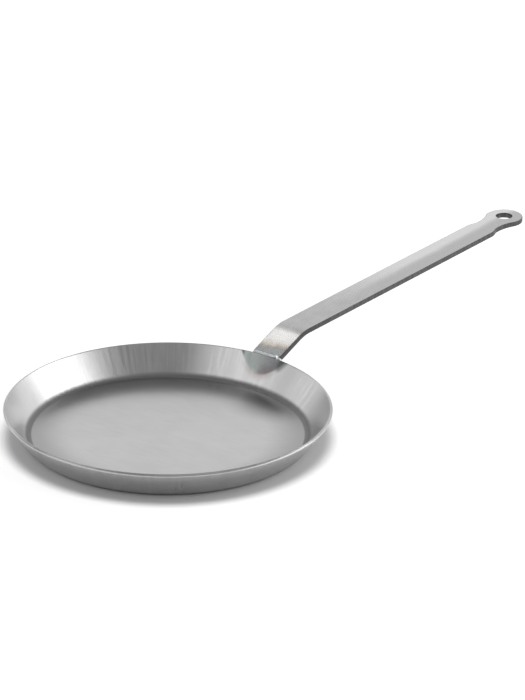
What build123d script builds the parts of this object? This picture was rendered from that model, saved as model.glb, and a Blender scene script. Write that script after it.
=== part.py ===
from build123d import *
import os
from math import atan2, cos, degrees, pi, sin, sqrt, tan

# Crepe pan of bare sheet steel: a shallow dish and a flat strip handle welded to its wall.
# The origin is the centre of the floor's underside, +Z is up and +X runs along the handle.

# Dish
sheet_thickness = 2.0
rim_radius = 100.0  # to the rim's outer edge
wall_flare = 14.0  # outward from where the outer faces of floor and wall would meet to the rim
rim_height = 18.5  # of the rim's outer edge above the floor's underside
floor_bend_radius = 4.0  # on the inside
rim_edge_radius = 0.45  # the cut edge is slightly broken

# Flat pressed into the wall at the rim, which the handle's root lies on
flat_sink = 1.37  # of the outer face at the rim, in from the round wall
flat_drop = 9.5  # from the rim's outer edge down to where the flat runs out

# Handle strip
strip_width = 20.4
strip_thickness = 3.4
root_lap = 10.2  # length on the wall, from the rim's outer edge down the flat
root_corner_radius = 5.0
root_rise = 0.9  # from the flat's crest up to the root bend, along the flat
root_bend_radius = 2.0  # on the underside
steep_run = 28.0  # from the root bend to the elbow, along the strip's upper face
steep_angle = 20.0  # above the horizontal
elbow_radius = 30.0  # on the underside
level_angle = 0.0  # of the long run above the horizontal

# Eye at the handle's end
rim_to_hole = 263.4  # from the rim's outer edge to the hanging hole
eye_swell = 2.0  # of the eye past each edge of the strip
hole_radius = 5.3
shoulder_depth = 2.0  # of the neck inside each edge of the strip
shoulder_length = 10.0
neck_length = 1.07  # of the straight between the shoulders and the hollow
neck_radius = 30.0  # of the hollow between neck and eye

# Welds
bead_leg = 1.8  # along the wall's cut edge and up the strip
bead_inset = 0.6  # from each edge of the strip
bead_crown_share = 0.62  # how far the bead's face stands out, as a share of its corner's depth
root_bead_radius = 1.7

# Cuts run this far past what they cut
overrun = 5.0


def point_on(start, angle, distance):
    """A point in the X-Z plane, a distance away from start in the direction of angle."""
    return (start[0] + distance * cos(angle), start[1] + distance * sin(angle))


def turned_plane(origin, angle):
    """A plane whose X axis runs along Y and whose Y axis climbs outward at angle."""
    return Plane(origin=(origin[0], 0, origin[1]), x_dir=(0, 1, 0), z_dir=(sin(angle), 0, -cos(angle)))


# Sizes that follow from these
base_radius = rim_radius - wall_flare
eye_reach = rim_radius + rim_to_hole
eye_radius = strip_width / 2 + eye_swell

# Directions and key points in the X-Z plane
wall_angle = atan2(rim_height, wall_flare)
wall_slope = rim_height / wall_flare
flat_top_reach = rim_radius - flat_sink
flat_foot_reach = rim_radius - flat_drop / wall_slope
flat_angle = atan2(flat_drop, flat_top_reach - flat_foot_reach)
flat_top = (flat_top_reach, rim_height)
# The rim is cut square to the wall, so the flat's outer edge crests a little above the rest of it
crest_rise = (rim_radius - flat_top_reach) / (wall_slope * sin(flat_angle) + cos(flat_angle))
crest = point_on(flat_top, flat_angle, crest_rise)


def revolved_outline(points, corner_radii=()):
    """Turns a closed outline of the X-Z plane, with some corners rounded, about the dish's axis."""
    face = make_face(Polyline(*points, close=True))
    for point, radius in corner_radii:
        corner = face.vertices().sort_by_distance((point[0], point[1], 0))[0]
        face = fillet(corner, radius)
    half_turn = 180
    return Rot(0, 0, half_turn) * revolve(Plane.XZ * face, Axis.Z, 2 * half_turn)


def inward_of_flat(depth):
    """All space more than a depth inward of the flat's outer face."""
    reach = 4 * rim_radius
    block = Box(reach, reach, reach, align=(Align.CENTER, Align.CENTER, Align.MAX))
    return turned_plane(flat_top, flat_angle) * Pos(0, 0, -depth) * block


def make_dish():
    """The pressed dish: floor, bend, flared wall with its flat, and a rim cut square to the wall."""
    base_corner = (base_radius, 0)
    rim_outer = (rim_radius, rim_height)
    rim_inner = point_on(rim_outer, wall_angle + pi / 2, sheet_thickness)
    floor_reach = rim_inner[0] - (rim_inner[1] - sheet_thickness) / wall_slope
    floor_corner = (floor_reach, sheet_thickness)
    outer_top = point_on(rim_outer, wall_angle, overrun)
    inner_top = point_on(rim_inner, wall_angle, overrun)
    outside = revolved_outline([(0, 0), base_corner, outer_top, (0, outer_top[1])],
                               [(base_corner, floor_bend_radius + sheet_thickness)])
    inside = revolved_outline([(0, sheet_thickness), floor_corner, inner_top, (0, inner_top[1])],
                              [(floor_corner, floor_bend_radius)])
    shell = (outside & inward_of_flat(0)) - (inside & inward_of_flat(sheet_thickness))

    cut_start = point_on(rim_outer, wall_angle - pi / 2, 4 * overrun)
    cut_end = point_on(rim_inner, wall_angle + pi / 2, 2 * overrun)
    above = cut_end[1] + overrun
    trimmed = shell - revolved_outline([cut_start, cut_end, (cut_end[0], above), (cut_start[0], above)])
    dish = trimmed.solids().sort_by(SortBy.VOLUME)[-1]
    return fillet(dish.edges().filter_by(lambda edge: edge.bounding_box().min.Z > rim_height - rim_edge_radius),
                  rim_edge_radius)


def bent_strip():
    """The strip's side view, two faces a thickness apart with a root bend and an elbow."""
    steep = steep_angle * pi / 180
    level = level_angle * pi / 180
    tip = eye_reach + eye_radius + overrun
    root_end = point_on(flat_top, flat_angle, -root_lap)
    bend = point_on(crest, flat_angle, root_rise)
    elbow = point_on(bend, steep, steep_run)
    end = point_on(elbow, level, (tip - elbow[0]) / cos(level))

    def under(point, before, after):
        """The underside's corner below a corner of the upper face."""
        middle = (before + after) / 2
        drop = strip_thickness / cos((before - after) / 2)
        return (point[0] + drop * sin(middle), point[1] - drop * cos(middle))

    under_root = under(root_end, flat_angle, flat_angle)
    under_bend = under(bend, flat_angle, steep)
    under_elbow = under(elbow, steep, level)
    under_end = under(end, level, level)
    face = make_face(Polyline(root_end, bend, elbow, end, under_end, under_elbow, under_bend, under_root,
                              close=True))
    for point, radius in [(under_bend, root_bend_radius), (bend, root_bend_radius + strip_thickness),
                          (under_elbow, elbow_radius), (elbow, elbow_radius + strip_thickness)]:
        face = fillet(face.vertices().sort_by_distance((point[0], point[1], 0))[0], radius)
    side = Plane.XZ * face
    width = strip_width + 2 * eye_radius
    return extrude(side, width / 2, both=True)


def strip_plan():
    """The strip from above: parallel edges, shoulders, a hollow neck and the round eye."""
    half_strip = strip_width / 2
    half_neck = half_strip - shoulder_depth
    to_hollow = sqrt((eye_radius + neck_radius) ** 2 - (half_neck + neck_radius) ** 2)
    hollow = (eye_reach - to_hollow, half_neck + neck_radius)
    shoulder_end = hollow[0] - neck_length
    shoulder_start = shoulder_end - shoulder_length
    share = eye_radius / (eye_radius + neck_radius)
    onto_eye = (eye_reach + (hollow[0] - eye_reach) * share, hollow[1] * share)
    halfway = (shoulder_start + shoulder_length / 2, (half_strip + half_neck) / 2)
    sunk = base_radius / 2

    edge = Line((sunk, half_strip), (shoulder_start, half_strip))
    fall = TangentArc((shoulder_start, half_strip), halfway, tangent=(1, 0))
    settle = TangentArc(halfway, (shoulder_end, half_neck), tangent=fall % 1)
    neck = Line((shoulder_end, half_neck), (hollow[0], half_neck))
    flare = TangentArc((hollow[0], half_neck), onto_eye, tangent=(1, 0))
    crown = ThreePointArc(onto_eye, (eye_reach + eye_radius, 0), (onto_eye[0], -onto_eye[1]))
    upper = [edge, fall, settle, neck, flare]
    lower = [piece.mirror(Plane.XZ) for piece in upper]
    back = Line((sunk, half_strip), (sunk, -half_strip))
    return make_face(Wire(upper + [crown] + lower + [back]))


def root_outline():
    """The line around the root plate on the flat: down one edge, round its end and up the other."""
    half = strip_width / 2
    below = (half, -root_lap)
    opposite = (-half, -root_lap)
    line = FilletPolyline((half, 0), below, opposite, (-half, 0), radius=root_corner_radius)
    return turned_plane(flat_top, flat_angle) * line


def root_end_blank():
    """The rounded root plate in its outline, and everything above the rim."""
    on_flat = turned_plane(flat_top, flat_angle)
    root = Pos(0, -root_lap / 2) * Rectangle(strip_width, root_lap)
    root = fillet(root.vertices().group_by(Axis.Y)[0], root_corner_radius)
    above = Pos(0, eye_reach) * Rectangle(rim_radius, 2 * eye_reach)
    return extrude(on_flat * (root + above), 2 * eye_reach, both=True)


def make_handle():
    """The bent strip, trimmed to its plan and its root outline, with the hanging hole."""
    tall = 2 * rim_radius
    strip = bent_strip() & extrude(strip_plan(), tall) & root_end_blank()
    return strip - Pos(eye_reach, 0, 0) * Cylinder(hole_radius, 2 * tall)


def make_rim_bead(dish, handle):
    """The weld bead in the corner between the wall's cut edge and the strip's upper face."""
    on_edge = point_on(crest, wall_angle + pi / 2, bead_leg)
    on_strip = point_on(crest, flat_angle, bead_leg)
    crown = point_on(crest, flat_angle + pi / 4, bead_leg * sqrt(2) * bead_crown_share)
    over = point_on(on_strip, steep_angle * pi / 180, bead_leg / 2)
    buried = point_on(crest, flat_angle - 3 * pi / 4, sheet_thickness)
    sunk = point_on(on_edge, wall_angle - pi, sheet_thickness)
    section = make_face(Wire([ThreePointArc(on_edge, crown, on_strip), Line(on_strip, over), Line(over, buried),
                              Line(buried, sunk), Line(sunk, on_edge)]))
    blank = extrude(Plane.XZ * section, strip_width / 2 - bead_inset, both=True)
    return (blank - handle - dish).solids().sort_by(SortBy.VOLUME)[-1]


def make_root_bead(dish, handle, rim_bead):
    """The weld bead around the root plate, in the corner between its edges and the wall."""
    line = root_outline()
    tube = sweep(Plane(origin=line @ 0, z_dir=line % 0) * Circle(root_bead_radius), path=line)
    return (tube - handle - dish - rim_bead).solids().sort_by(SortBy.VOLUME)[-1]


dish = make_dish()
handle = make_handle()
rim_bead = make_rim_bead(dish, handle)
nodes = {
    "pan_body": dish,
    "handle": handle,
    "rim_weld_bead": rim_bead,
    "root_weld_bead": make_root_bead(dish, handle, rim_bead),
}

os.makedirs("parts", exist_ok=True)
for name, shape in nodes.items():
    export_step(shape, f"parts/{name}.step")
    print(name, round(shape.volume, 1), shape.bounding_box())
print("wall", round(degrees(wall_angle), 2), "flat", round(degrees(flat_angle), 2))
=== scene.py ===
from math import atan2, cos, pi, radians, sin, sqrt

import bmesh
import bpy
import numpy as np
from mathutils import Matrix, Vector


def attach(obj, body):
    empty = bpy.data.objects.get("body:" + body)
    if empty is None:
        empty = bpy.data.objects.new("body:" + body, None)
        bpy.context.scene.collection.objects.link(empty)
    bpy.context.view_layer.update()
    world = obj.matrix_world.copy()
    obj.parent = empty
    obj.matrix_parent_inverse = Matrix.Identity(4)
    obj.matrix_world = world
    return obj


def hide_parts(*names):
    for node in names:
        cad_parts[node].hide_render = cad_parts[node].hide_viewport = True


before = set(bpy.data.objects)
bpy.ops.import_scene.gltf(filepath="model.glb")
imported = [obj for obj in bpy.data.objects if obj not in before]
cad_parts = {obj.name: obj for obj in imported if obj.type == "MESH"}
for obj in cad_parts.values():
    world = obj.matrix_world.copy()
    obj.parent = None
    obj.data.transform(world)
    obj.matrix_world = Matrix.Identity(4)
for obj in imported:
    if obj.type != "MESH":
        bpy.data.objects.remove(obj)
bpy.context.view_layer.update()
scene = bpy.context.scene
mm = 0.001  # shapes are worked out in millimetres, the scene is in metres
print("frame loaded:", sorted(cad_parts))


# The point a distance away from start: start plus distance times the angle's cosine and sine
def along(start, angle, distance):
    return np.array([start[0] + distance * cos(angle), start[1] + distance * sin(angle)])


# Points of a circle's arc: centre plus radius times the cosine and sine of an evenly growing angle
def arc(centre, radius, start, end, count):
    turn = np.linspace(start, end, count)
    return np.stack([centre[0] + radius * np.cos(turn), centre[1] + radius * np.sin(turn)], axis=-1)


# Points of a straight line: start times one minus the share plus end times the share
def straight(start, end, count):
    share = np.linspace(0, 1, count)[:, None]
    return np.asarray(start) * (1 - share) + np.asarray(end) * share


# The arc of a given radius that touches both lines of a corner. Its centre lies on the corner's
# bisector, the radius divided by the sine of half the angle away.
def roundedCorner(before, corner, after, radius, count):
    before, corner, after = (np.asarray(point, float) for point in (before, corner, after))
    back = (before - corner) / np.linalg.norm(before - corner)
    on = (after - corner) / np.linalg.norm(after - corner)
    half = np.arccos(np.clip(back @ on, -1, 1)) / 2
    middle = (back + on) / np.linalg.norm(back + on)
    centre = corner + middle * radius / np.sin(half)
    first = corner + back * radius / np.tan(half) - centre
    last = corner + on * radius / np.tan(half) - centre
    start, end = np.arctan2(first[1], first[0]), np.arctan2(last[1], last[0])
    end += 2 * pi * np.round((start - end) / (2 * pi))  # the short way round
    return arc(centre, radius, start, end, count)


# One closed mesh from grids of points in millimetres. Each grid (rows, columns, 3) gives its quads,
# then points that coincide are merged, so shared rows close the seams and equal points the poles.
def surfaceMesh(name, grids, materialOf=None, merge=0.002 * mm):
    points, faces, marks = [], [], []
    start = 0
    for number, grid in enumerate(grids):
        rows, columns = grid.shape[:2]
        index = np.arange(rows * columns).reshape(rows, columns) + start
        quads = np.stack([index[:-1, :-1], index[1:, :-1], index[1:, 1:], index[:-1, 1:]], axis=-1)
        points.append(grid.reshape(-1, 3))
        faces.append(quads.reshape(-1, 4))
        marks.append(np.full((rows - 1) * (columns - 1), materialOf[number] if materialOf else 0))
        start += rows * columns
    mesh = bpy.data.meshes.new(name)
    mesh.from_pydata(np.concatenate(points) * mm, [], np.concatenate(faces))
    mesh.polygons.foreach_set("material_index", np.concatenate(marks))
    work = bmesh.new()
    work.from_mesh(mesh)
    bmesh.ops.remove_doubles(work, verts=work.verts, dist=merge)
    bmesh.ops.recalc_face_normals(work, faces=work.faces)
    work.to_mesh(mesh)
    work.free()
    mesh.polygons.foreach_set("use_smooth", np.ones(len(mesh.polygons), bool))
    piece = bpy.data.objects.new(name, mesh)
    scene.collection.objects.link(piece)
    return piece


# Two cap grids that close a tube's first and last columns, each with its own middle point. The
# middle leaves out the last row where that row only closes the tube.
def tubeCaps(grid, closing):
    middleRows = grid[:-1] if closing else grid
    return [np.stack([grid[:, end], np.broadcast_to(middleRows[:, end].mean(0), grid[:, end].shape)])
            for end in (0, -1)]


# Every piece rides on the only body and stands for its solids, which are hidden
def placePiece(piece, slot, *nodes):
    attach(piece, "root")
    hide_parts(*nodes)
    print(piece.name, len(piece.data.polygons), "faces")


# The dish, in millimetres
dish = {
    "rimRadius": 100.0, "wallFlare": 14.0, "rimHeight": 18.5,  # all to the rim's outer edge
    "sheet": 2.0, "bendRadius": 4.0, "edgeRadius": 0.462,
    "flatSink": 1.37, "flatDrop": 9.5, "creaseWidth": 0.22,  # the flat under the handle's root
    "floorRows": 22, "bendRows": 12, "wallRows": 46, "edgeRows": 6, "cutRows": 4,
    "flatHalfTurn": 13, "flatColumns": 150, "roundColumns": 300,  # closer columns 13 degrees to each side
}

# Slopes and key points that follow, in the plane of the dish's axis and the handle
wallAngle = atan2(dish["rimHeight"], dish["wallFlare"])
wallSlope = dish["rimHeight"] / dish["wallFlare"]
baseRadius = dish["rimRadius"] - dish["wallFlare"]
flatTopReach = dish["rimRadius"] - dish["flatSink"]
flatFootReach = dish["rimRadius"] - dish["flatDrop"] / wallSlope
flatAngle = atan2(dish["flatDrop"], flatTopReach - flatFootReach)
crestRise = (dish["rimRadius"] - flatTopReach) / (wallSlope * sin(flatAngle) + cos(flatAngle))
flatTop = np.array([flatTopReach, dish["rimHeight"]])
crest = along(flatTop, flatAngle, crestRise)


# How far a point is past a plane, with the corner at the plane rounded over a width: nothing before
# it, the depth itself after it, and in between the square of depth plus width over four widths
def softPast(depth, width):
    blend = (depth + width) ** 2 / (4 * width)
    return np.where(depth > width, depth, np.where(depth < -width, 0, blend))


# The dish's section from the inner centre over the rim to the outer centre, and for each point its
# share of the sheet's thickness from the outer face
def dishProfile():
    sheet = dish["sheet"]
    baseCorner = np.array([baseRadius, 0.0])
    rimOuter = np.array([dish["rimRadius"], dish["rimHeight"]])
    rimInner = along(rimOuter, wallAngle + pi / 2, sheet)
    floorCorner = np.array([rimInner[0] - (rimInner[1] - sheet) / wallSlope, sheet])
    centreIn, centreOut = np.array([0.0, sheet]), np.array([0.0, 0.0])
    bends, edges = dish["bendRows"], dish["edgeRows"]
    innerBend = roundedCorner(centreIn, floorCorner, rimInner, dish["bendRadius"], bends)
    innerEdge = roundedCorner(floorCorner, rimInner, rimOuter, dish["edgeRadius"], edges)
    outerEdge = roundedCorner(rimInner, rimOuter, baseCorner, dish["edgeRadius"], edges)
    outerBend = roundedCorner(rimOuter, baseCorner, centreOut, dish["bendRadius"] + sheet, bends)
    # Each run of points, with the shares at its start and end
    runs = [
        (straight(centreIn, innerBend[0], dish["floorRows"]), 1, 1),
        (innerBend, 1, 1),
        (straight(innerBend[-1], innerEdge[0], dish["wallRows"]), 1, 1),
        (innerEdge, 1, 0.9),
        (straight(innerEdge[-1], outerEdge[0], dish["cutRows"]), 0.85, 0.15),
        (outerEdge, 0.1, 0),
        (straight(outerEdge[-1], outerBend[0], dish["wallRows"]), 0, 0),
        (outerBend, 0, 0),
        (straight(outerBend[-1], centreOut, dish["floorRows"]), 0, 0)]
    points = np.concatenate([run[0] for run in runs])
    shares = np.concatenate([np.linspace(run[1], run[2], len(run[0])) for run in runs])
    keep = np.append(True, np.linalg.norm(np.diff(points, axis=0), axis=1) > 1e-6)  # no doubled rows
    return points[keep], shares[keep]


# The section turned about the dish's axis: reach times the bearing's cosine and sine, and the height.
# Points past the flat's plane are pushed back onto it along its normal, each face by its own depth.
def makeDish():
    section, shares = dishProfile()
    flatHalf = radians(dish["flatHalfTurn"])
    azimuth = np.concatenate([np.linspace(-flatHalf, flatHalf, dish["flatColumns"]),
                              np.linspace(flatHalf, 2 * pi - flatHalf, dish["roundColumns"])[1:]])
    reach, height = section[:, 0][:, None], section[:, 1][:, None]
    grid = np.stack([reach * np.cos(azimuth), reach * np.sin(azimuth), height + 0 * azimuth], axis=-1)
    normal = np.array([sin(flatAngle), 0, -cos(flatAngle)])
    depth = (grid - np.array([flatTop[0], 0, flatTop[1]])) @ normal + (shares * dish["sheet"])[:, None]
    onWall = (height > dish["sheet"]) & (reach > baseRadius / 2)
    grid -= (softPast(depth, dish["creaseWidth"]) * onWall)[..., None] * normal
    return surfaceMesh("panBodySteel", [grid])


# The handle's strip, in millimetres
strip = {
    "width": 20.4, "thickness": 3.4, "rootLap": 10.2, "rootCorner": 5.0, "rootRise": 0.9,
    "rootBend": 2.0, "steepRun": 28.0, "elbow": 30.0,
    "steepAngle": 20.0, "levelAngle": 0.0,  # degrees above the horizontal
    "holeReach": 363.4, "eyeSwell": 2.0, "holeRadius": 5.3, "shoulderDepth": 2.0,
    "shoulderLength": 10.0, "shoulderToHole": 29.003, "neckRadius": 30.0,
    "edgeRadius": 0.4, "holeEdge": 0.3, "crown": 0.22,
    "ringStart": 12.5,  # before the hole, where the grid across gives way to a ring round the hole
    "pastElbow": 2.0,  # how far past the elbow its close points go on
    "pathPoints": 60001, "acrossPoints": 33, "ringRows": 14, "edgePoints": 6, "sidePoints": 8,
    "cornerPoints": 14, "bendPoints": 90, "runPoints": 60, "neckPoints": 40, "hollowPoints": 16,
    "eyePoints": 48,
}


# The strip's upper face seen from the side: straight runs and arcs, found by adding up the cosine
# and sine of a slope that is even on the runs and falls steadily on the arcs
class BentPath:
    def __init__(self):
        steep, level = radians(strip["steepAngle"]), radians(strip["levelAngle"])
        rootEnd = along(flatTop, flatAngle, -strip["rootLap"])
        outerRoot, outerElbow = (strip[bend] + strip["thickness"] for bend in ("rootBend", "elbow"))
        rootTangent = outerRoot * np.tan((flatAngle - steep) / 2)
        elbowTangent = outerElbow * np.tan((steep - level) / 2)
        lengths = [strip["rootLap"] + crestRise + strip["rootRise"] - rootTangent,
                   outerRoot * (flatAngle - steep), strip["steepRun"] - rootTangent - elbowTangent,
                   outerElbow * (steep - level)]
        marks = np.concatenate([[0], np.cumsum(lengths)])
        tip = strip["holeReach"] + strip["width"] / 2 + strip["eyeSwell"]
        s = np.linspace(0, 2 * tip, strip["pathPoints"])  # twice the tip's reach is more than enough
        slope = np.interp(s, marks, [flatAngle, flatAngle, steep, steep, level])
        step = s[1] - s[0]
        x = rootEnd[0] + np.concatenate([[0], np.cumsum(np.cos((slope[1:] + slope[:-1]) / 2)) * step])
        z = rootEnd[1] + np.concatenate([[0], np.cumsum(np.sin((slope[1:] + slope[:-1]) / 2)) * step])
        self.s, self.x, self.z, self.slope, self.elbowEnd = s, x, z, slope, marks[-1]

    # The length along the strip at a given reach from the dish's axis, read off the points
    def lengthAt(self, reach):
        return np.interp(reach, self.x, self.s)

    # The point at length s, y across and depth under the upper face, square to the slope there
    def place(self, s, y, depth):
        slope = np.interp(s, self.s, self.slope)
        x = np.interp(s, self.s, self.x) + depth * np.sin(slope)
        z = np.interp(s, self.s, self.z) - depth * np.cos(slope)
        return np.stack(np.broadcast_arrays(x, y, z), axis=-1)


# Half widths, and lengths along the strip at which its outline changes
bentPath = BentPath()
halfStrip = strip["width"] / 2
eyeRadius = halfStrip + strip["eyeSwell"]
halfNeck = halfStrip - strip["shoulderDepth"]
eyeAt = bentPath.lengthAt(strip["holeReach"])
shoulderAt = eyeAt - strip["shoulderToHole"]
neckAt = shoulderAt + strip["shoulderLength"]
toHollow = sqrt((eyeRadius + strip["neckRadius"]) ** 2 - (halfNeck + strip["neckRadius"]) ** 2)
hollowAt = eyeAt - toHollow
ontoEyeAt = eyeAt - toHollow * eyeRadius / (eyeRadius + strip["neckRadius"])
ringAt = eyeAt - strip["ringStart"]


# Half the strip's width at length s: a quarter circle at the root's corner, a straight edge, a
# shoulder of two equal arcs, a hollow arc and the eye's circle. An arc's sag is its radius minus
# the root of the radius squared minus the distance squared.
def halfWidth(s):
    fall = strip["shoulderDepth"]
    shoulder = (strip["shoulderLength"] ** 2 + fall ** 2) / (4 * fall)

    def sag(radius, away):
        return radius - np.sqrt(np.maximum(radius ** 2 - away ** 2, 0))

    corner = strip["rootCorner"]
    middle = (shoulderAt + neckAt) / 2
    return np.select(
        [s < corner, s < shoulderAt, s < middle, s < neckAt, s < hollowAt, s < ontoEyeAt],
        [halfStrip - sag(corner, corner - s), halfStrip + 0 * s, halfStrip - sag(shoulder, s - shoulderAt),
         halfNeck + sag(shoulder, neckAt - s), halfNeck + 0 * s,
         halfNeck + sag(strip["neckRadius"], s - hollowAt)],
        np.sqrt(np.maximum(eyeRadius ** 2 - (s - eyeAt) ** 2, 0)))


# The strip's edge from the root's end to the tip, with closer points where it curves, and the
# outward direction at each point: the direction ahead turned a quarter to the left
def sideLine():
    corner = strip["rootCorner"]
    turn = np.linspace(0, pi / 2, strip["cornerPoints"])
    rootPart = corner - corner * np.cos(turn)
    bends = np.linspace(corner, bentPath.elbowEnd + strip["pastElbow"], strip["bendPoints"])[1:]
    longRun = np.linspace(bends[-1], shoulderAt, strip["runPoints"])[1:]
    neckPart = np.linspace(shoulderAt, ringAt, strip["neckPoints"])[1:]
    hollowPart = np.linspace(ringAt, ontoEyeAt, strip["hollowPoints"])[1:]
    start = np.arccos((ontoEyeAt - eyeAt) / eyeRadius)
    eyePart = eyeAt + eyeRadius * np.cos(np.linspace(start, 0, strip["eyePoints"])[1:])
    s = np.concatenate([rootPart, bends, longRun, neckPart, hollowPart, eyePart])
    y = halfWidth(s)
    y[-1] = 0
    ahead = np.gradient(np.stack([s, y], axis=-1), axis=0)
    ahead[0], ahead[-1] = (0, 1), (0, -1)
    ahead /= np.linalg.norm(ahead, axis=1)[:, None]
    outward = np.stack([-ahead[:, 1], ahead[:, 0]], axis=-1)
    outward[-1] = (1, 0)
    return np.stack([s, y], axis=-1), outward


# The upper face is very slightly crowned: its depth grows with the square of the way to the edge
def crownDepth(y):
    return strip["crown"] * (y / halfStrip) ** 2


# How far in and how far down a band of rows runs that rounds both edges of a cut side: a quarter
# circle's sine and cosine at each edge and an even way down between them
def edgeBand(edge):
    turn = np.linspace(0, pi / 2, strip["edgePoints"])
    between = np.linspace(0, 1, strip["sidePoints"])[1:-1]
    thick = strip["thickness"]
    ins = np.concatenate([1 - np.sin(turn), 0 * between, 1 - np.sin(turn[::-1])]) * edge
    downs = np.concatenate([edge * (1 - np.cos(turn)), edge + between * (thick - 2 * edge),
                            thick - edge * (1 - np.cos(turn[::-1]))])
    return ins[:, None], downs[:, None]


# Upper and lower faces as grids between the inset edges, a ring grid around the hole, and a band
# carried round the outline and round the hole, with a quarter arc at each corner
def makeHandle():
    thick, count = strip["thickness"], strip["acrossPoints"]
    side, outward = sideLine()
    inset = side - outward * strip["edgeRadius"]
    cut = int(np.argmin(np.abs(side[:, 0] - ringAt)))
    across = np.linspace(-1, 1, count)

    def flatGrid(depthOf):
        s = inset[:cut + 1, 0][:, None] + 0 * across
        y = inset[:cut + 1, 1][:, None] * across
        return bentPath.place(s, y, depthOf(y))

    # The ring goes from the cut line round the tip and back, and inward to the hole
    cutLine = np.stack([np.full(count, inset[cut, 0]), inset[cut, 1] * across], axis=-1)
    upper = inset[cut:][1:]
    lower = upper[::-1][1:] * [1, -1]
    boundary = np.concatenate([cutLine, upper, lower, cutLine[:1]])
    bearing = np.arctan2(boundary[:, 1], boundary[:, 0] - eyeAt)
    holeRing = strip["holeRadius"] + strip["holeEdge"]
    hole = np.stack([eyeAt + holeRing * np.cos(bearing), holeRing * np.sin(bearing)], axis=-1)
    share = np.linspace(0, 1, strip["ringRows"])[:, None, None]
    ring = boundary[None] * (1 - share) + hole[None] * share

    def ringGrid(depthOf):
        return bentPath.place(ring[..., 0], ring[..., 1], depthOf(ring[..., 1]))

    # The crown fades out down a cut side, so the underside stays flat
    def crownedDepth(downs, y):
        return downs + crownDepth(y) * np.clip(1 - downs / thick, 0, 1)

    endLine = np.stack([0 * across, side[0, 1] * across], axis=-1)
    endOut = np.tile([-1.0, 0.0], (count, 1))
    loop = np.concatenate([endLine[:-1], side, (side * [1, -1])[::-1][1:]])
    loopOut = np.concatenate([endOut[:-1], outward, (outward * [1, -1])[::-1][1:]])
    ins, downs = edgeBand(strip["edgeRadius"])
    bandPoints = loop[None] - loopOut[None] * ins[..., None]
    band = bentPath.place(bandPoints[..., 0], bandPoints[..., 1], crownedDepth(downs, bandPoints[..., 1]))

    holeIns, holeDowns = edgeBand(strip["holeEdge"])
    radius = strip["holeRadius"] + holeIns
    holeS, holeY = eyeAt + radius * np.cos(bearing), radius * np.sin(bearing)
    bore = bentPath.place(holeS, holeY, crownedDepth(holeDowns, holeY))

    def underside(y):
        return thick + 0 * y

    # The first four grids are brushed faces, and the band and the bore are sheared
    grids = [flatGrid(crownDepth), flatGrid(underside), ringGrid(crownDepth), ringGrid(underside), band, bore]
    return surfaceMesh("handleSteel", grids, materialOf=[0, 0, 0, 0, 1, 1])


# Ripples of both weld beads, in millimetres; each wander has its size, pace and times of the seed
ripple = {"pitch": 1.15, "wander": ((0.35, 0.9, 1), (0.2, 2.3, 2)), "sharpness": (0.35, 0.6)}


# Weld ripples: a sine of the distance along the bead plus a smaller one at twice its pace, the
# distance wandering a little by two slow sines
def ripples(distance, depth, seed):
    wander = sum(size * np.sin(distance * pace + times * seed) for size, pace, times in ripple["wander"])
    phase = (distance + wander) / ripple["pitch"] * 2 * pi
    size, shift = ripple["sharpness"]
    return depth * (np.sin(phase) + size * np.sin(2 * phase + shift))


# How full a bead is near its end: the height of a quarter circle over the way in from the end
def roundTip(inward, length):
    return np.sqrt(1 - (1 - np.clip(inward / length, 0, 1)) ** 2)


# The height of a bell curve at a distance: e to minus the square of distance over reach
def bell(distance, reach):
    return np.exp(-(distance / reach) ** 2)


# The bead along the rim, in millimetres
rimBead = {
    "leg": 1.8, "inset": 0.6, "crownShare": 0.72, "buried": 0.5, "endLength": 1.6, "endShare": 0.18,
    "swell": 0.3, "swellAt": 1.3, "swellReach": 1.1,  # of its near end
    "ripple": 0.055, "seed": 1.0, "sway": (0.06, 0.7),
    "columns": 180, "faceRows": 22, "backRows": 6,
}


# The rim's bead: a rounded three-cornered section in the corner between the wall's cut edge and the
# strip, its face a parabola through foot, crown and top, carried along Y, rippled and swollen
def makeRimBead():
    half = strip["width"] / 2 - rimBead["inset"]
    y = np.linspace(-half, half, rimBead["columns"])
    swell = roundTip(half - np.abs(y), rimBead["endLength"])
    swell = swell * (1 + rimBead["swell"] * bell(y + half - rimBead["swellAt"], rimBead["swellReach"]))
    outwardAngle = flatAngle + pi / 4
    foot = along(crest, wallAngle + pi / 2, rimBead["leg"])
    top = along(crest, flatAngle, rimBead["leg"])
    crown = along(crest, outwardAngle, rimBead["leg"] * sqrt(2) * rimBead["crownShare"])
    buried = along(crest, flatAngle - 3 * pi / 4, rimBead["buried"])
    share = np.linspace(0, 1, rimBead["faceRows"])[:, None]
    control = 2 * crown - (foot + top) / 2
    face = (1 - share) ** 2 * foot + 2 * share * (1 - share) * control + share ** 2 * top
    back = [straight(top, buried, rimBead["backRows"])[1:], straight(buried, foot, rimBead["backRows"])[1:]]
    section = np.concatenate([face, *back])
    bulge = np.concatenate([np.sin(share[:, 0] * pi), np.zeros(len(section) - len(face))])
    outward = np.array([cos(outwardAngle), sin(outwardAngle)])
    swaySize, swayPace = rimBead["sway"]
    wobble = ripples(y, rimBead["ripple"], rimBead["seed"]) + swaySize * np.sin(y * swayPace)
    fullness = rimBead["endShare"] + (1 - rimBead["endShare"]) * swell
    points = buried + (section[:, None, :] - buried) * fullness[None, :, None]
    points += bulge[:, None, None] * wobble[None, :, None] * outward * swell[None, :, None]
    grid = np.stack([points[..., 0], y[None] + 0 * points[..., 0], points[..., 1]], axis=-1)
    return surfaceMesh("rimWeldBead", [grid, *tubeCaps(grid, False)])


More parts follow.
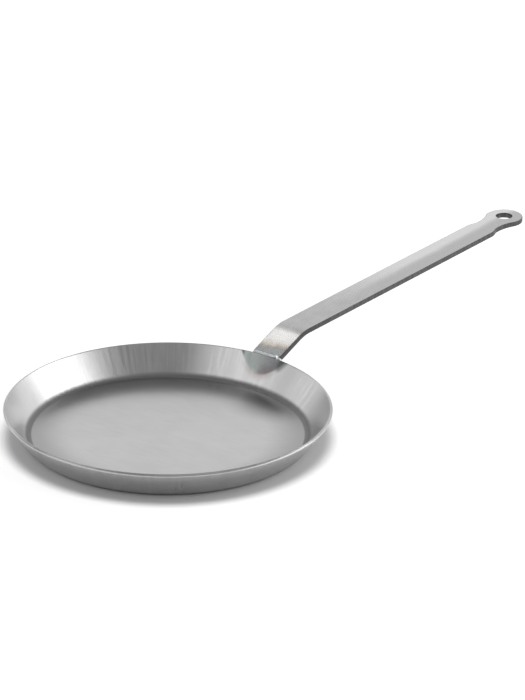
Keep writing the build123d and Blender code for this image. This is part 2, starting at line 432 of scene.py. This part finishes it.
# The bead round the root plate, in millimetres
rootBead = {
    "radius": 1.7, "sink": 0.12, "raise": 2.0,  # raise is how far its near end climbs past the rim
    "ripple": 0.05, "seed": 2.0, "blob": 0.5, "blobAt": 1.3, "blobReach": 1.2,
    "tipLength": 1.3, "tipShare": 0.05,
    "runColumns": 44, "arcColumns": 30, "endColumns": 50, "tubeRows": 29,
}


# The root's bead: a tube along the root plate's outline on the flat, its radius rippled, with a blob
# and rounded ends. The half that lies in the wall and in the strip stays hidden in them.
def makeRootBead():
    half, lap, corner = halfStrip, strip["rootLap"], strip["rootCorner"]
    runs, arcs = rootBead["runColumns"], rootBead["arcColumns"]
    firstRun = straight((half, 0), (half, corner - lap), runs)
    firstArc = arc((half - corner, corner - lap), corner, 0, -pi / 2, arcs)
    endRun = straight((half - corner, -lap), (corner - half, -lap), rootBead["endColumns"])
    secondArc = arc((corner - half, corner - lap), corner, -pi / 2, -pi, arcs)
    lastRun = straight((-half, corner - lap), (-half, rootBead["raise"]), runs)
    line = np.concatenate([firstRun, firstArc[1:], endRun[1:], secondArc[1:], lastRun[1:]])
    ahead = np.gradient(line, axis=0)
    ahead /= np.linalg.norm(ahead, axis=1)[:, None]
    sideways = np.stack([ahead[:, 1], -ahead[:, 0]], axis=-1)
    distance = np.concatenate([[0], np.cumsum(np.linalg.norm(np.diff(line, axis=0), axis=1))])
    toLast = distance[-1] - distance
    radius = rootBead["radius"] - rootBead["sink"] + ripples(distance, rootBead["ripple"], rootBead["seed"])
    radius = radius + rootBead["blob"] * bell(toLast - rootBead["blobAt"], rootBead["blobReach"])
    tips = roundTip(np.minimum(distance, toLast), rootBead["tipLength"])
    radius = radius * (rootBead["tipShare"] + (1 - rootBead["tipShare"]) * tips)
    turn = np.linspace(0, 2 * pi, rootBead["tubeRows"])[:, None]
    y = line[:, 0] + np.cos(turn) * sideways[:, 0] * radius
    climb = line[:, 1] + np.cos(turn) * sideways[:, 1] * radius
    out = np.sin(turn) * radius
    x = flatTop[0] + climb * cos(flatAngle) + out * sin(flatAngle)
    z = flatTop[1] + climb * sin(flatAngle) - out * cos(flatAngle)
    grid = np.stack([x, y, z], axis=-1)
    return surfaceMesh("rootWeldBead", [grid, *tubeCaps(grid, True)])


# Wraps a node's output, so that sums, products and quotients of values are written plainly
class Socket:
    def __init__(self, maker, output):
        self.maker, self.output = maker, output

    def __add__(self, other):
        return self.maker.combine("ADD", self, other)

    def __radd__(self, other):
        return self.maker.combine("ADD", other, self)

    def __sub__(self, other):
        return self.maker.combine("SUBTRACT", self, other)

    def __rsub__(self, other):
        return self.maker.combine("SUBTRACT", other, self)

    def __mul__(self, other):
        return self.maker.combine("MULTIPLY", self, other)

    def __rmul__(self, other):
        return self.maker.combine("MULTIPLY", other, self)

    def __truediv__(self, other):
        return self.maker.combine("DIVIDE", self, other)


# A material and the making of its nodes. Its place is in metres from the object's origin.
class Finish:
    def __init__(self, name):
        self.material = bpy.data.materials.new(name)
        self.material.use_nodes = True
        self.tree = self.material.node_tree
        self.shader = self.tree.nodes["Principled BSDF"]
        self.place = self.node("ShaderNodeTexCoord", {}, {}, "Object")
        parts = self.node("ShaderNodeSeparateXYZ", {}, {0: self.place}, None)
        self.x, self.y, self.z = (Socket(self, parts.outputs[number]) for number in range(3))

    # A node of a type, its settings made first, then the values or links of its sockets. It gives
    # back one output, or the node itself where output is None.
    def node(self, kind, settings, values, output=0):
        made = self.tree.nodes.new(kind)
        for key, value in settings.items():
            setattr(made, key, value)
        for key, value in values.items():
            self.put(made.inputs[key], value)
        return made if output is None else Socket(self, made.outputs[output])

    def put(self, slot, value):
        if isinstance(value, Socket):
            self.tree.links.new(value.output, slot)
        else:
            slot.default_value = value

    def into(self, key, value):
        self.put(self.shader.inputs[key], value)

    def combine(self, operation, first, second):
        return self.node("ShaderNodeMath", {"operation": operation}, {0: first, 1: second})

    def size(self, value):
        return self.node("ShaderNodeMath", {"operation": "ABSOLUTE"}, {0: value})

    # The root of the sum of two squares
    def away(self, first, second):
        return self.node("ShaderNodeMath", {"operation": "SQRT"}, {0: first * first + second * second})

    # A smooth step over a span of the value: three squares minus two cubes of the way through it
    def rise(self, value, span, low=0.0, high=1.0):
        return self.node("ShaderNodeMapRange", {"interpolation_type": "SMOOTHSTEP"},
                         {0: value, 1: span[0], 2: span[1], 3: low, 4: high})

    # The same step from one to nothing
    def fall(self, value, span):
        return self.rise(value, span, 1.0, 0.0)

    # Fractal noise, its kind given as scale, detail and roughness
    def noise(self, vector, kind):
        return self.node("ShaderNodeTexNoise", {"noise_dimensions": "3D"},
                         {"Vector": vector, "Scale": kind[0], "Detail": kind[1], "Roughness": kind[2]}, "Fac")

    # The same noise as a length, evenly to both sides of nothing
    def drift(self, vector, kind, reach):
        return self.noise(vector, kind) * reach - reach / 2

    def stretched(self, vector, scale):
        return self.node("ShaderNodeVectorMath", {"operation": "MULTIPLY"}, {0: vector, 1: scale})

    def joined(self, x, y, z):
        return self.node("ShaderNodeCombineXYZ", {}, {0: x, 1: y, 2: z})

    # The first colour, turned by a share into the second
    def blend(self, share, first, second):
        made = self.node("ShaderNodeMix", {"data_type": "RGBA"}, {0: share, 6: first, 7: second}, None)
        return Socket(self, made.outputs[2])

    def bump(self, height, distance, strength):
        values = {"Strength": strength, "Distance": distance, "Height": height}
        self.into("Normal", self.node("ShaderNodeBump", {}, values))


# A grey as a linear colour, a little warmer where warm is above nothing
def grey(value, warm=0.0):
    return (value * (1 + warm), value, value * (1 - warm), 1.0)


# Satin steel of the dish. Spans are metres along the axis or away from it, noises are scale, detail
# and roughness, and shares run from 0 to 1.
dishSteel = {
    "wall": (0.0835, 0.0860),  # how far out the floor's brush lines give way to the wall's
    "wallStretch": (9.0, 14.0), "wallNoise": (6.0, 3.0, 0.55),  # stretched around and up the wall
    "floorStretch": (700.0, 60.0, 60.0), "floorNoise": (1.0, 4.0, 0.6),
    "mottle": (55.0, 4.0, 0.6), "cloud": (14.0, 2.0, 0.5),
    "dark": 0.585, "pale": 0.635, "mottleSpan": (0.3, 0.7),  # the greys that the mottling joins
    "line": 0.72, "lineSpan": (0.35, 0.75), "lineShare": 0.25,
    "roughness": 0.20, "wallRoughness": 0.06, "lineRoughness": 0.09, "lineRoughSpan": (0.35, 0.65),
    "mottleRoughness": 0.04, "flatRoughness": 0.06, "bendRoughness": 0.22,
    "floorBump": 0.2, "wallBump": 0.18, "mottleBump": 0.25, "bumpDepth": 0.00005, "bumpStrength": 0.5,
}
# Painted shade in the inner bend, on the floor's outer part and on the floor beside the weld
bendShade = {
    "inside": (0.0008, 0.0012),  # height above the underside at which the dish's inside begins
    "insideFrom": 0.083, "insideSlope": 0.45,  # beyond this reach that height grows outward
    "corner": (0.0580, 0.0830), "cornerShadeEnd": (0.0856, 0.0876), "cornerShadeDrift": 0.006,
    "cornerShadeGrey": 0.38, "cornerShadeShare": 0.85,  # corner is the painted shade that slowly darkens the floor's outer part
    "bend": (0.0825, 0.0835), "bendShadeEnd": (0.0856, 0.0872), "bendShadeGrey": 0.24, "bendShadeShare": 0.78,
    "shadeSpotAt": (0.078, -0.024), "shadeSpot": (0.006, 0.036),  # centre and reach of the painted shade spot by the weld
    "shadeSpotGrey": 0.23, "shadeSpotShare": 0.75,
}
# The flat's grey film and temper colours
flatTint = {
    "inner": (0.0014, 0.0016),  # how deep under the wall's outer face the inner one begins
    "on": (0.00002, 0.00018), "reach": (0.087, 0.088),  # off the flat's plane, and where it starts
    "drift": (260.0, 3.0, 0.6), "driftReach": 0.006, "lowDrift": 0.6, "endDrift": 0.2,
    "near": (-0.010, 0.006), "low": (0.0095, 0.0165),  # along Y and along Z
    "farFilm": (0.40, 0.435, 0.42, 1), "nearFilm": (0.23, 0.23, 0.235, 1), "purple": (0.21, 0.15, 0.175, 1),
    "straw": (0.42, 0.36, 0.26, 1), "strawShare": 0.5,
    "strawLow": (0.0088, 0.0105), "strawFar": (-0.002, 0.006),
    "ends": (0.075, 0.08, 0.08, 1), "endShare": 0.8, "endMiddle": 0.0015, "endSpan": (0.0116, 0.0146),
    "speck": (1500.0, 2.0, 0.5), "speckSpan": (0.62, 0.72), "speckGrey": 0.6, "speckShare": 0.5,
    "fringe": (0.40, 0.34, 0.33, 1), "fringeDepth": (0.00010, 0.00060),  # depths are off the plane
    "fringeShare": 0.6,
    "nearEndDark": (0.15, 0.165, 0.16, 1), "nearEndDarkDepth": (0.00010, 0.00080), "nearEndDarkShare": 0.85,
    "nearEndDarkAlong": (-0.0135, -0.0100), "nearEndDarkHigh": (0.0125, 0.0150),
}


# Brush lines up the wall and across the floor with faint mottling, then the duller bend with painted shade
# on it, on the floor's outer part and beside the weld, then the film and temper colours of the weld's heat on
# the flat
def dishFinish():
    f, look, paintedShade, tint = Finish("dishSteel"), dishSteel, bendShade, flatTint
    reach = f.away(f.x, f.y)
    onWall = f.rise(reach, look["wall"])
    around, up = look["wallStretch"]
    roundWall = f.joined(f.x / reach * around, f.y / reach * around, reach * up)
    wallLines = f.noise(roundWall, look["wallNoise"])
    floorLines = f.noise(f.stretched(f.place, look["floorStretch"]), look["floorNoise"])
    lines = onWall * wallLines + (1 - onWall) * floorLines
    mottle = f.noise(f.place, look["mottle"])
    cloud = f.noise(f.place, look["cloud"])
    evenly = f.rise(mottle * 0.5 + cloud * 0.5, look["mottleSpan"])
    base = f.blend(evenly, grey(look["dark"]), grey(look["pale"]))
    base = f.blend(f.rise(lines, look["lineSpan"]) * look["lineShare"], base, grey(look["line"]))

    # Depth past the flat's outer face: x times the sine minus z times the cosine of its angle, less
    # the same of its top. The inner face lies a sheet inward.
    flatOffset = (flatTop[0] * sin(flatAngle) - flatTop[1] * cos(flatAngle)) * mm
    past = f.x * sin(flatAngle) - f.z * cos(flatAngle) - flatOffset
    inner, outer = f.size(past + dish["sheet"] * mm), f.size(past)
    # Depth under the wall's outer cone tells the sheet's inner face from its outer one
    rimReach, rimLevel = dish["rimRadius"] * mm, dish["rimHeight"] * mm
    coneDepth = (rimReach - reach) * sin(wallAngle) - (rimLevel - f.z) * cos(wallAngle)
    innerFace = f.rise(coneDepth, tint["inner"])
    onFlat = f.fall(inner, tint["on"]) * innerFace
    onFlat = onFlat + f.fall(outer, tint["on"]) * (1 - innerFace)
    onFlat = onFlat * f.rise(f.x, tint["reach"])

    drift = f.drift(f.place, tint["drift"], tint["driftReach"])
    near = f.fall(f.y + drift, tint["near"])
    low = f.fall(f.z + drift * tint["lowDrift"], tint["low"])
    film = f.blend(near, tint["farFilm"], tint["nearFilm"])
    film = f.blend(low * near, film, tint["purple"])
    straw = f.fall(f.z + drift, tint["strawLow"]) * f.rise(f.y + drift, tint["strawFar"])
    film = f.blend(straw * tint["strawShare"], film, tint["straw"])
    ends = f.rise(f.size(f.y - tint["endMiddle"] + drift * tint["endDrift"]), tint["endSpan"])
    film = f.blend(ends * innerFace * tint["endShare"], film, tint["ends"])
    speck = f.rise(f.noise(f.place, tint["speck"]), tint["speckSpan"])
    film = f.blend(speck * near * tint["speckShare"], film, grey(tint["speckGrey"]))

    # The brush misses the inner bend, so it is duller. Painted shade darkens the bend, the floor
    # toward it and the floor beside the weld.
    pastFloor = f.combine("MAXIMUM", reach - paintedShade["insideFrom"], 0.0)
    within = f.rise(f.z - pastFloor * paintedShade["insideSlope"], paintedShade["inside"])
    corner = f.rise(reach + (cloud - 0.5) * paintedShade["cornerShadeDrift"], paintedShade["corner"]) * within
    corner = corner * f.fall(reach, paintedShade["cornerShadeEnd"])
    bend = f.rise(reach, paintedShade["bend"]) * f.fall(reach, paintedShade["bendShadeEnd"]) * within
    shadeSpot = f.fall(f.away(f.x - paintedShade["shadeSpotAt"][0], f.y - paintedShade["shadeSpotAt"][1]), paintedShade["shadeSpot"])
    shadeSpot = shadeSpot * f.fall(reach, look["wall"]) * within
    # Painted shade on the floor's outer part, beside the weld and in the bend
    base = f.blend(corner * paintedShade["cornerShadeShare"], base, grey(paintedShade["cornerShadeGrey"]))
    base = f.blend(shadeSpot * paintedShade["shadeSpotShare"], base, grey(paintedShade["shadeSpotGrey"]))
    base = f.blend(bend * paintedShade["bendShadeShare"], base, grey(paintedShade["bendShadeGrey"]))

    # A faint fringe round the flat, and a darker patch at its near end
    fringe = f.fall(inner, tint["fringeDepth"]) * f.rise(f.x, tint["reach"]) * innerFace
    base = f.blend(fringe * low * tint["fringeShare"], base, tint["fringe"])
    nearEndDark = f.fall(inner, tint["nearEndDarkDepth"]) * f.fall(f.y, tint["nearEndDarkAlong"]) * innerFace
    nearEndDark = nearEndDark * f.rise(f.z, tint["nearEndDarkHigh"])
    base = f.blend(nearEndDark * tint["nearEndDarkShare"], base, tint["nearEndDark"])
    f.into("Base Color", f.blend(onFlat, base, film))
    f.into("Metallic", 1.0)
    lineRoughness = look["lineRoughness"] * onWall * f.rise(lines, look["lineRoughSpan"])
    f.into("Roughness", look["roughness"] + onWall * look["wallRoughness"] + lineRoughness
           + look["mottleRoughness"] * mottle + onFlat * look["flatRoughness"] + bend * look["bendRoughness"])
    f.bump(lines * (look["floorBump"] + onWall * look["wallBump"]) + look["mottleBump"] * mottle,
           look["bumpDepth"], look["bumpStrength"])
    return f.material


# Satin steel of the handle's faces
handleSteel = {
    "lineStretch": (40.0, 1500.0, 1500.0), "lineNoise": (1.0, 3.0, 0.6),
    "mottleStretch": (90.0, 220.0, 220.0), "mottleNoise": (1.0, 4.0, 0.6),
    "dark": 0.52, "pale": 0.58, "mottleSpan": (0.3, 0.7),
    "steep": (0.120, 0.126), "steepHighlightGrey": 0.86, "steepHighlightWarm": 0.02,  # where the painted highlight on the steep run ends
    "wanderStretch": (30.0, 0.0, 0.0), "wanderNoise": (1.0, 2.0, 0.5), "wander": 0.004,
    "far": (-0.0040, 0.0040), "outward": (0.150, 0.270),  # across and along, where the painted highlight on the far half starts
    "farHighlightGrey": 0.83, "nearGrey": 0.55, "nearShare": 0.8,
    "heatNoise": (240.0, 3.0, 0.6), "heatDrift": 0.006, "heatSlant": 0.12,  # of the heat's edge
    "heated": (0.1062, 0.1092), "film": (0.34, 0.345, 0.35, 1),
    "brown": (0.42, 0.36, 0.29, 1), "brownShare": 0.55,
    "brownFrom": (0.1040, 0.1070), "brownTo": (0.1075, 0.1150),
    "roughness": 0.21, "lineRoughness": 0.08, "mottleRoughness": 0.05,
    "mottleBump": 0.5, "bumpDepth": 0.00002, "bumpStrength": 0.5,
}


# Brush lines along the strip with blotches, a long run painted paler toward its far edge as highlight, a
# steep run painted bright as highlight, and the film and the brown line where the weld's heat came up from
# the rim
def handleFinish():
    f, look = Finish("handleSteelFace"), handleSteel
    lines = f.noise(f.stretched(f.place, look["lineStretch"]), look["lineNoise"])
    mottle = f.noise(f.stretched(f.place, look["mottleStretch"]), look["mottleNoise"])
    base = f.blend(f.rise(mottle, look["mottleSpan"]), grey(look["dark"]), grey(look["pale"]))
    # Painted highlight: the steep run is painted near white
    base = f.blend(f.fall(f.x, look["steep"]), base, grey(look["steepHighlightGrey"], look["steepHighlightWarm"]))
    wander = f.drift(f.stretched(f.place, look["wanderStretch"]), look["wanderNoise"], look["wander"])
    # Painted highlight: the long run's far half is painted paler
    highlightHalf = f.rise(f.y + wander, look["far"])
    outward = f.rise(f.x, look["outward"])
    base = f.blend(highlightHalf * outward, base, grey(look["farHighlightGrey"]))
    base = f.blend((1 - highlightHalf) * outward * look["nearShare"], base, grey(look["nearGrey"]))
    heatReach = f.x + f.y * look["heatSlant"] + f.drift(f.place, look["heatNoise"], look["heatDrift"])
    brown = f.rise(heatReach, look["brownFrom"]) * f.fall(heatReach, look["brownTo"])
    base = f.blend(f.fall(heatReach, look["heated"]), base, look["film"])
    base = f.blend(brown * look["brownShare"], base, look["brown"])
    f.into("Base Color", base)
    f.into("Metallic", 1.0)
    f.into("Roughness", look["roughness"] + look["lineRoughness"] * lines + look["mottleRoughness"] * mottle)
    f.bump(lines + look["mottleBump"] * mottle, look["bumpDepth"], look["bumpStrength"])
    return f.material


# The strip's sheared edge, painted near black as shade
edgeSteel = {
    "stretch": (1400.0, 1400.0, 120.0), "noise": (1.0, 3.0, 0.6), "span": (0.3, 0.7),
    "dark": 0.07, "pale": 0.15, "root": (0.125, 0.175), "rootShadeShare": 0.35,  # painted shade, darker up to the elbow
    "roughness": 0.36, "lineRoughness": 0.16, "bumpDepth": 0.00004, "bumpStrength": 0.6,
}


# Rougher metal with fine lines down it, painted near black as shade, and painted a little darker near the
# root
def edgeFinish():
    f, look = Finish("shearedSteelEdge"), edgeSteel
    lines = f.noise(f.stretched(f.place, look["stretch"]), look["noise"])
    pale = f.rise(lines, look["span"]) * f.rise(f.x, look["root"], look["rootShadeShare"], 1.0)
    f.into("Base Color", f.blend(pale, grey(look["dark"]), grey(look["pale"])))
    f.into("Metallic", 1.0)
    f.into("Roughness", look["roughness"] + look["lineRoughness"] * lines)
    f.bump(lines, look["bumpDepth"], look["bumpStrength"])
    return f.material


# The beads' weld metal, painted pale as highlight
weldSteel = {
    "pits": (900.0, 3.0, 0.6), "pitSpan": (0.35, 0.6), "pitted": (0.66, 0.70, 0.71, 1),
    "brightHighlight": (0.90, 0.94, 0.95, 1), "roughness": 0.34, "pitRoughness": 0.2,
    "bumpDepth": 0.00005, "bumpStrength": 0.5,
}


# Metal painted pale as highlight, with small darker pits
def weldFinish():
    f, look = Finish("weldSteel"), weldSteel
    pits = f.noise(f.place, look["pits"])
    f.into("Base Color", f.blend(f.rise(pits, look["pitSpan"]), look["pitted"], look["brightHighlight"]))
    f.into("Metallic", 1.0)
    f.into("Roughness", look["roughness"] + look["pitRoughness"] * pits)
    f.bump(pits, look["bumpDepth"], look["bumpStrength"])
    return f.material


# The studio, in metres and degrees
studio = {
    "aim": (0.11278, 0.01250, 0.015), "distance": 3.0, "bearing": 36.414, "drop": 23.233, "roll": 0.49,
    "lens": 246.978, "sensor": 36, "clip": (0.05, 50),
    "floorReach": 6.0, "floorColour": 0.72, "floorRoughness": 0.9, "floorGloss": 0.1,
    "floorGlow": 0.66, "glow": (0.094, 0.106),  # the floor is white beyond the dish's foot and its shadow
    "world": 0.25, "lampAim": (0.06, 0, 0),
}
# Each lamp's bearing, height, distance, size and the brightness of its face. Bearing 0 is right of
# the camera's view, 90 behind the object, 180 left.
lamps = {
    "rightSoftbox": (-1, 31, 1.5, (1.65, 0.7), 2.3),
    "rightCard": (36, 13, 1.7, (0.9, 0.5), 0.9),
    "leftSoftbox": (204, 40, 1.6, (1.7, 0.9), 0.9),
    "leftCard": (151, 18, 1.8, (1.3, 0.6), 0.85),
    "backCard": (90, 27, 2.0, (3.0, 1.4), 0.58),
    "stripLamp": (113, 53, 1.6, (0.34, 0.34), 1.25),
    "frontTop": (300, 70, 1.5, (0.8, 0.6), 0.25),
}
towards = Vector((cos(radians(studio["bearing"])), sin(radians(studio["bearing"])), 0))
rightward = Vector((towards.y, -towards.x, 0))


# The camera stands back from its aim, against its forward direction: the level direction times
# the drop's cosine, less the upright times its sine. It is rolled about that direction.
def makeCamera():
    data = bpy.data.cameras.new("photoCamera")
    data.lens, data.sensor_width = studio["lens"], studio["sensor"]
    data.clip_start, data.clip_end = studio["clip"]
    camera = bpy.data.objects.new("photoCamera", data)
    scene.collection.objects.link(camera)
    drop = radians(studio["drop"])
    forward = towards * cos(drop) - Vector((0, 0, sin(drop)))
    level = forward.cross(Vector((0, 0, 1))).normalized()
    side = Matrix.Rotation(radians(studio["roll"]), 3, -forward) @ level
    up = side.cross(forward)
    place = Vector(studio["aim"]) - forward * studio["distance"]
    basis = Matrix((side, up, -forward)).transposed().to_4x4()
    camera.matrix_world = Matrix.Translation(place) @ basis
    scene.camera = camera


# A soft lamp that faces the object, its power the brightness times pi times its area
def makeLamp(name, bearing, height, distance, size, level):
    data = bpy.data.lights.new(name, "AREA")
    data.shape, data.size, data.size_y = "RECTANGLE", size[0], size[1]
    data.energy = level * pi * size[0] * size[1]
    lamp = bpy.data.objects.new(name, data)
    scene.collection.objects.link(lamp)
    flat = rightward * cos(radians(bearing)) + towards * sin(radians(bearing))
    way = flat * cos(radians(height)) + Vector((0, 0, sin(radians(height))))
    lamp.location = Vector(studio["lampAim"]) + way * distance
    lamp.rotation_euler = way.to_track_quat("Z", "Y").to_euler()


# A pale floor that keeps the object's shadow, white to the camera and in reflections by its glow
def makeFloor():
    mesh = bpy.data.meshes.new("studioFloor")
    reach = studio["floorReach"]
    corners = [(-reach, -reach, 0), (reach, -reach, 0), (reach, reach, 0), (-reach, reach, 0)]
    mesh.from_pydata(corners, [], [(0, 1, 2, 3)])
    floor = bpy.data.objects.new("studioFloor", mesh)
    scene.collection.objects.link(floor)
    f = Finish("paperWhite")
    f.into("Base Color", grey(studio["floorColour"]))
    f.into("Roughness", studio["floorRoughness"])
    f.into("Specular IOR Level", studio["floorGloss"])
    path = f.node("ShaderNodeLightPath", {}, {}, None)
    rays = [Socket(f, path.outputs[name]) for name in ("Is Camera Ray", "Is Glossy Ray")]
    glow = f.combine("MAXIMUM", *rays) * f.rise(f.away(f.x, f.y), studio["glow"])
    f.into("Emission Color", f.blend(glow, (0, 0, 0, 1), (1, 1, 1, 1)))
    f.into("Emission Strength", studio["floorGlow"])
    mesh.materials.append(f.material)


# A weak white light, even all around
def makeWorld():
    world = bpy.data.worlds.new("studioWorld")
    scene.world = world
    world.use_nodes = True
    background = world.node_tree.nodes["Background"]
    background.inputs["Color"].default_value = (1, 1, 1, 1)
    background.inputs["Strength"].default_value = studio["world"]


# The four pieces, then the studio
pan = makeDish()
pan.data.materials.append(dishFinish())
placePiece(pan, "dish_steel", "pan_body")
handle = makeHandle()
handle.data.materials.append(handleFinish())
handle.data.materials.append(edgeFinish())
placePiece(handle, "handle_steel", "handle")
weldMetal = weldFinish()
for bead, node in ((makeRimBead(), "rim_weld_bead"), (makeRootBead(), "root_weld_bead")):
    bead.data.materials.append(weldMetal)
    placePiece(bead, "weld_steel", node)

makeCamera()
print("camera placed")
makeFloor()
makeWorld()
print("floor and world made")
for lampName, values in lamps.items():
    makeLamp(lampName, *values)
print("lamps placed:", len(lamps))
scene.view_settings.view_transform = "Standard"
